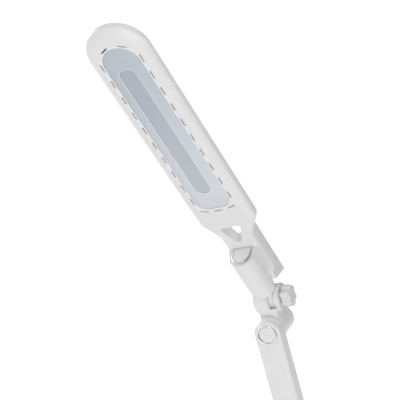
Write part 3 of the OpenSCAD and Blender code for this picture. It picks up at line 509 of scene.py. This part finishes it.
def raise_bead(shape, core, width, rise, floor_z):
    """Widens a line of edges to a band, raises it and rounds its top, in the head's frame."""
    shape.verts.ensure_lookup_table()
    wide = bmesh.ops.extrude_edge_only(shape, edges=list(shape.edges))
    outer = [item for item in wide["geom"] if isinstance(item, bmesh.types.BMVert)]
    for vert in outer:
        vert.co += outward(vert.co, core) * width
    gone = [face for face in shape.faces
            if slot_distance(face.calc_center_median().xy) < SLOT_W / 2 + BEAD_CLEARANCE]
    bmesh.ops.delete(shape, geom=gone, context="FACES")
    bmesh.ops.recalc_face_normals(shape, faces=shape.faces)
    raised = bmesh.ops.extrude_face_region(shape, geom=list(shape.faces), use_keep_orig=True)
    top = [item for item in raised["geom"] if isinstance(item, bmesh.types.BMVert)]
    bmesh.ops.translate(shape, verts=top, vec=(0, 0, rise + BEAD_SINK))
    bmesh.ops.recalc_face_normals(shape, faces=shape.faces)
    rim = [edge for edge in shape.edges if is_sharp(edge) and all(v.co.z > 0.01 for v in edge.verts)]
    bmesh.ops.bevel(shape, geom=rim, offset=min(width, rise + BEAD_SINK) * 0.4, segments=2,
                    profile=0.5, affect="EDGES", clamp_overlap=True, material=-1)
    bmesh.ops.translate(shape, verts=shape.verts, vec=(0, 0, floor_z - BEAD_SINK))
    bmesh.ops.scale(shape, verts=shape.verts, vec=(MM, MM, MM))
    bmesh.ops.transform(shape, verts=shape.verts, matrix=HEAD_FRAME)


def add_slot_bead():
    """The thin bead that joins the slots, moulded on the face of the head; its whiter colour than the shell is
    painted highlight.
    """
    shape = loop_outline(LOOP_HALF_W - BEAD_W / 2, LOOP_CORNER - BEAD_W / 2)
    core = (LOOP_HALF_W - LOOP_CORNER, LIGHT_NEAR_Y - NEAR_SLOT_DROP + LOOP_CORNER, LIGHT_FAR_Y)
    raise_bead(shape, core, BEAD_W, BEAD_RISE, FACE_Z)
    bead = finish_mesh(shape, "slot_bead", BEAD_PAINTED_HIGHLIGHT, "head")


def add_panel_bead():
    """The thin raised rim round the sunken centre panel of the light cover; its pale colour is painted highlight.
    """
    shape = bmesh.new()
    inner = PANEL_HALF_W + PANEL_BEAD_GAP
    first = bmesh.ops.create_vert(shape, co=(inner, PANEL_FAR_Y, 0))["vert"][0]
    vert = spun(shape, first, (0, PANEL_FAR_Y, 0), 180, 40)
    vert = drawn(shape, vert, (-inner, PANEL_NEAR_Y, 0), 1)
    vert = spun(shape, vert, (0, PANEL_NEAR_Y, 0), 180, 40)
    drawn(shape, vert, (inner, PANEL_FAR_Y, 0), 1)
    bmesh.ops.remove_doubles(shape, verts=shape.verts, dist=SAME_POINT)
    raise_bead(shape, (0.0, PANEL_NEAR_Y, PANEL_FAR_Y), PANEL_BEAD_W, PANEL_BEAD_RISE,
               CROWN_TOP_Z)
    bead = finish_mesh(shape, "panel_bead", RIM_PAINTED_HIGHLIGHT, "head")


def soften_all():
    for body, nodes in SOFT_EDGES.items():
        for node, radius in nodes.items():
            softened(node, body, radius)


# Studio

def add_floor():
    mesh = bpy.data.meshes.new("floor")
    shape = bmesh.new()
    bmesh.ops.create_grid(shape, x_segments=1, y_segments=1, size=30.0)
    shape.to_mesh(mesh)
    shape.free()
    floor = bpy.data.objects.new("floor", mesh)
    bpy.context.scene.collection.objects.link(floor)
    material, tree, shader = new_material("studio_floor", (0.9, 0.9, 0.9))
    shader.inputs["Base Color"].default_value = (0.75, 0.75, 0.75, 1.0)
    shader.inputs["Roughness"].default_value = 0.9
    shader.inputs["Specular IOR Level"].default_value = 0.0
    out = tree.nodes["Material Output"]
    rays = add_node(tree, "ShaderNodeLightPath", (-300, 300))
    glow = add_node(tree, "ShaderNodeEmission", (-100, -200),
                    inputs={"Color": (1, 1, 1, 1), "Strength": 0.75})
    both = add_node(tree, "ShaderNodeAddShader", (150, -100))
    seen = add_node(tree, "ShaderNodeMixShader", (350, 0))
    seen_by = add_node(tree, "ShaderNodeMath", (0, 300), operation="MAXIMUM")
    link = tree.links.new
    link(rays.outputs["Is Camera Ray"], seen_by.inputs[0])
    link(rays.outputs["Is Glossy Ray"], seen_by.inputs[1])
    link(shader.outputs[0], both.inputs[0])
    link(glow.outputs[0], both.inputs[1])
    link(seen_by.outputs[0], seen.inputs[0])
    link(shader.outputs[0], seen.inputs[1])
    link(both.outputs[0], seen.inputs[2])
    link(seen.outputs[0], out.inputs["Surface"])
    floor.data.materials.append(material)


def add_dark_flag():
    """A dark card beside the lamp that only shiny surfaces see, so that the chrome has its dark edge."""
    mesh = bpy.data.meshes.new("dark_flag")
    shape = bmesh.new()
    bmesh.ops.create_grid(shape, x_segments=1, y_segments=1, size=0.5)
    bmesh.ops.scale(shape, verts=shape.verts, vec=(2.6, 4.2, 1.0))
    bmesh.ops.rotate(shape, verts=shape.verts, matrix=Matrix.Rotation(math.radians(90), 3, "Y"))
    bmesh.ops.translate(shape, verts=shape.verts, vec=(0.55, 0.5, 1.31))
    shape.to_mesh(mesh)
    shape.free()
    flag = bpy.data.objects.new("dark_flag", mesh)
    bpy.context.scene.collection.objects.link(flag)
    material, tree, shader = new_material("dark_card", (0.1, 0.1, 0.1))
    card = add_node(tree, "ShaderNodeEmission", (-100, -200),
                    inputs={"Color": (0.02, 0.02, 0.022, 1), "Strength": 1.0})
    clear = add_node(tree, "ShaderNodeBsdfTransparent", (-100, 0))
    rays = add_node(tree, "ShaderNodeLightPath", (-300, 300))
    seen = add_node(tree, "ShaderNodeMixShader", (250, 0))
    tree.nodes.remove(shader)
    link = tree.links.new
    link(rays.outputs["Is Glossy Ray"], seen.inputs[0])
    link(clear.outputs[0], seen.inputs[1])
    link(card.outputs[0], seen.inputs[2])
    link(seen.outputs[0], tree.nodes["Material Output"].inputs["Surface"])
    flag.data.materials.append(material)


def add_world():
    world = bpy.data.worlds.new("studio")
    bpy.context.scene.world = world
    world.use_nodes = True
    tree = world.node_tree
    soft = tree.nodes["Background"]
    soft.inputs["Color"].default_value = (1.0, 1.0, 1.0, 1.0)
    soft.inputs["Strength"].default_value = 0.46
    bright = add_node(tree, "ShaderNodeBackground", (0, -200),
                      inputs={"Color": (1, 1, 1, 1), "Strength": 1.0})
    rays = add_node(tree, "ShaderNodeLightPath", (-300, 300))
    seen = add_node(tree, "ShaderNodeMixShader", (250, 0))
    seen_by = add_node(tree, "ShaderNodeMath", (-100, 300), operation="MAXIMUM")
    seen_too = add_node(tree, "ShaderNodeMath", (50, 300), operation="MAXIMUM")
    link = tree.links.new
    link(rays.outputs["Is Camera Ray"], seen_by.inputs[0])
    link(rays.outputs["Is Glossy Ray"], seen_by.inputs[1])
    link(seen_by.outputs[0], seen_too.inputs[0])
    link(rays.outputs["Is Transmission Ray"], seen_too.inputs[1])
    link(seen_too.outputs[0], seen.inputs[0])
    link(soft.outputs[0], seen.inputs[1])
    link(bright.outputs[0], seen.inputs[2])
    link(seen.outputs[0], tree.nodes["World Output"].inputs["Surface"])


def add_panel_light(name, place, target, size, power):
    lamp = bpy.data.lights.new(name, "AREA")
    lamp.shape = "RECTANGLE"
    lamp.size = size[0]
    lamp.size_y = size[1]
    lamp.energy = power
    holder = bpy.data.objects.new(name, lamp)
    bpy.context.scene.collection.objects.link(holder)
    holder.location = place
    aim = Vector(target) - Vector(place)
    holder.rotation_euler = aim.to_track_quat("-Z", "Y").to_euler()


def add_lights():
    middle = (-0.12, 0.0, 0.45)
    add_panel_light("front_light", (0.3, -2.0, 0.9), middle, (1.4, 1.4), 8.0)
    add_panel_light("fill_light", (1.2, -1.7, 0.6), middle, (1.2, 0.9), 11.7)
    add_panel_light("side_light", (-2.0, 0.3, 0.8), middle, (1.2, 1.2), 15.0)
    add_panel_light("top_light", (0.2, 0.3, 2.2), middle, (1.6, 1.6), 4.8)


def add_camera():
    camera = bpy.data.cameras.new("photo_camera")
    camera.sensor_width = SENSOR_WIDTH
    camera.lens = FOCAL_PIXELS / PHOTO_SIZE * SENSOR_WIDTH
    camera.clip_start = 0.05
    camera.clip_end = 100.0
    holder = bpy.data.objects.new("photo_camera", camera)
    bpy.context.scene.collection.objects.link(holder)
    turn = math.radians(CAMERA_AZIMUTH)
    drop = math.radians(CAMERA_ELEVATION)
    aim = Vector((-math.sin(turn) * math.cos(drop), math.cos(turn) * math.cos(drop),
                  -math.sin(drop)))
    holder.location = CAMERA_PLACE
    holder.rotation_mode = "QUATERNION"
    holder.rotation_quaternion = aim.to_track_quat("-Z", "Y")
    bpy.context.scene.camera = holder


bpy.context.scene.view_settings.view_transform = "Standard"
dress_nodes()
soften_all()
add_slot_bead()
add_panel_bead()
add_floor()
add_dark_flag()
add_world()
add_lights()
add_camera()
